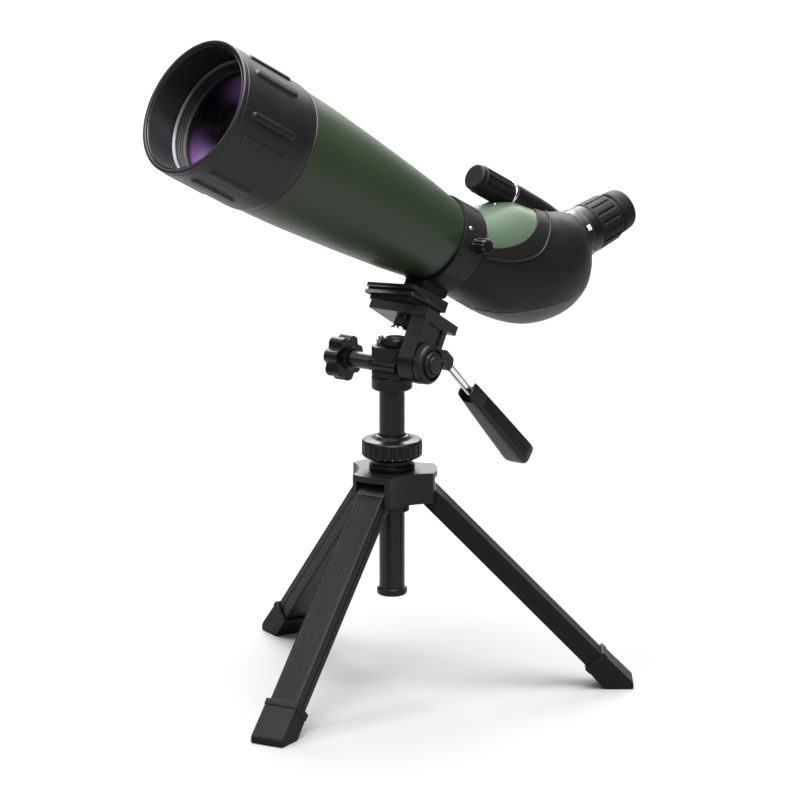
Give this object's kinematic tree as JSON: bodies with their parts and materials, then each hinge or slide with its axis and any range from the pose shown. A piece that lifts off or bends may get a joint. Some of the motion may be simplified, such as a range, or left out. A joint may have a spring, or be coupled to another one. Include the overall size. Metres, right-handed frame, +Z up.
{
  "type": "angled spotting scope on a table tripod",
  "caption": "Angled spotting scope with a zoom eyepiece, held by a rotating collar on a pan and tilt head over a small folding tripod.",
  "frame": {"origin": "middle of the bounding box footprint, on the ground under the feet", "axes": "+Z up along the tripod column, the objective looks towards -Y with its nose up, the pan handle hangs on the +X side of the head"},
  "size_m": [0.2952, 0.4206, 0.4748],
  "materials": {
    "green_paint": "dark satin green",
    "rubber": "matt charcoal",
    "satin_plastic": "black satin",
    "matt_plastic": "charcoal matt",
    "black_anodised": "black anodised",
    "black_paint": "matt black",
    "grey_metal": "satin grey",
    "chrome": "polished",
    "steel": "turned",
    "brass": "turned",
    "coated_glass": "purple coated",
    "clear_glass": "clear"
  },
  "bodies": {
    "tripod_base": {"tripod_hub": "satin_plastic", "clamp_neck": "satin_plastic", "column_bushing": "matt_plastic", "leg_pin_1": "steel", "leg_pin_2": "steel", "leg_pin_3": "steel"},
    "leg_1": {"leg_tube_1": "black_anodised", "leg_hinge_block_1": "satin_plastic", "foot_1": "rubber"},
    "leg_2": {"leg_tube_2": "black_anodised", "leg_hinge_block_2": "satin_plastic", "foot_2": "rubber"},
    "leg_3": {"leg_tube_3": "black_anodised", "leg_hinge_block_3": "satin_plastic", "foot_3": "rubber"},
    "clamp_collar": {"column_clamp_collar": "satin_plastic"},
    "column": {"column_tube": "black_anodised", "column_end_cap": "satin_plastic", "column_head_socket": "satin_plastic"},
    "pan_head": {"head_block": "satin_plastic", "head_cap": "satin_plastic", "head_bolt": "chrome"},
    "pan_lock": {"pan_lock_knob": "satin_plastic", "pan_lock_shaft": "grey_metal"},
    "tilt_head": {"tilt_bracket": "satin_plastic", "tilt_shaft": "steel", "tilt_clamp_cap": "matt_plastic", "mount_collar": "matt_plastic"},
    "head_screw": {"camera_screw": "chrome", "camera_screw_knob": "satin_plastic"},
    "pan_handle": {"handle_rod": "chrome", "handle_grip": "matt_plastic"},
    "collar_lock": {"collar_lock_knob": "satin_plastic", "collar_lock_stud": "chrome"},
    "telescope": {"barrel": "green_paint", "objective_cell": "black_paint", "objective_front_lens": "coated_glass", "objective_rear_lens": "clear_glass", "objective_retaining_ring": "black_paint", "barrel_baffle": "black_paint", "prism_housing": "green_paint", "rubber_armour": "rubber", "bottom_shell": "matt_plastic", "focus_base": "satin_plastic", "focus_ring": "chrome", "half_pentagon_prism": "clear_glass", "roof_prism": "clear_glass", "prism_shelf": "steel", "eyepiece_tube": "grey_metal", "zoom_index_ring": "satin_plastic", "eye_lens": "coated_glass", "eyecup": "rubber"},
    "shield": {"dew_shield": "rubber"},
    "focuser": {"focus_knob": "rubber", "focus_spindle": "steel"},
    "focus_cell": {"focus_carriage": "brass", "focus_lens": "clear_glass"},
    "zoom_grip": {"zoom_ring": "rubber"},
    "zoom_cell": {"zoom_carriage": "brass", "zoom_lens": "clear_glass"}
  },
  "joints": [
    {"name": "leg_1_fold", "type": "hinge", "parent": "tripod_base", "child": "leg_1", "pos_m": [0.0406, -0.00939, 0.1469], "axis": [-0.7826, 0.6225, 0], "range_deg": [0, 44]},
    {"name": "leg_2_fold", "type": "hinge", "parent": "tripod_base", "child": "leg_2", "pos_m": [0.00837, -0.02209, 0.1469], "axis": [-0.1478, -0.989, 0], "range_deg": [0, 44]},
    {"name": "leg_3_fold", "type": "hinge", "parent": "tripod_base", "child": "leg_3", "pos_m": [0.03548, -0.04365, 0.1469], "axis": [0.9304, 0.3665, 0], "range_deg": [0, 44]},
    {"name": "column_clamp_twist", "type": "hinge", "parent": "tripod_base", "child": "clamp_collar", "pos_m": [0.02815, -0.02505, 0.173], "axis": [0, 0, 1], "range_deg": [0, 90]},
    {"name": "column_lift", "type": "slide", "parent": "tripod_base", "child": "column", "axis": [0, 0, 1], "range_m": [-0.02, 0.055]},
    {"name": "head_pan", "type": "hinge", "parent": "column", "child": "pan_head", "pos_m": [0.02815, -0.02505, 0.2379], "axis": [0, 0, 1], "continuous": true},
    {"name": "pan_lock_twist", "type": "hinge", "parent": "pan_head", "child": "pan_lock", "pos_m": [-0.01049, -0.0354, 0.2327], "axis": [0.9659, 0.2588, 0], "range_deg": [-120, 0]},
    {"name": "head_tilt", "type": "hinge", "parent": "pan_head", "child": "tilt_head", "pos_m": [0.02815, -0.02505, 0.2379], "axis": [0.9659, 0.2588, 0], "range_deg": [-12, 50]},
    {"name": "camera_screw_turn", "type": "hinge", "parent": "tilt_head", "child": "head_screw", "pos_m": [0.02488, -0.01283, 0.25946], "axis": [-0.131, 0.4888, 0.8625], "range_deg": [-360, 0]},
    {"name": "handle_twist", "type": "hinge", "parent": "tilt_head", "child": "pan_handle", "pos_m": [0.05429, 0.00489, 0.23238], "axis": [-0.1899, 0.7087, -0.6794], "range_deg": [-90, 0]},
    {"name": "collar_lock_turn", "type": "hinge", "parent": "tilt_head", "child": "collar_lock", "pos_m": [0.05592, 0.03208, 0.31496], "axis": [0.9914, 0.0648, 0.1138], "range_deg": [0, 180]},
    {"name": "scope_roll", "type": "hinge", "parent": "tilt_head", "child": "telescope", "pos_m": [0.01626, 0.02949, 0.3104], "axis": [-0.0002, 0.87, -0.4931], "range_deg": [-90, 90]},
    {"name": "shield_slide", "type": "slide", "parent": "telescope", "child": "shield", "axis": [0.0002, -0.87, 0.4931], "range_m": [0, 0.03]},
    {"name": "focus_turn", "type": "hinge", "parent": "telescope", "child": "focuser", "pos_m": [0.00901, 0.08401, 0.34252], "axis": [-0.0002, 0.87, -0.4931], "range_deg": [-360, 360]},
    {"name": "focus_travel", "type": "slide", "parent": "telescope", "child": "focus_cell", "axis": [-0.0002, 0.87, -0.4931], "range_m": [-0.006, 0.006]},
    {"name": "zoom_turn", "type": "hinge", "parent": "telescope", "child": "zoom_grip", "pos_m": [0.00697, 0.18047, 0.30542], "axis": [-0.0928, 0.9608, 0.2612], "range_deg": [0, 150]},
    {"name": "zoom_travel", "type": "slide", "parent": "telescope", "child": "zoom_cell", "axis": [-0.0928, 0.9608, 0.2612], "range_m": [0, 0.008]}
  ],
  "couplings": [
    {"joint": "focus_travel", "follows": "focus_turn", "m_per_rad": 0.00095},
    {"joint": "zoom_travel", "follows": "zoom_turn", "m_per_rad": 0.003}
  ]
}
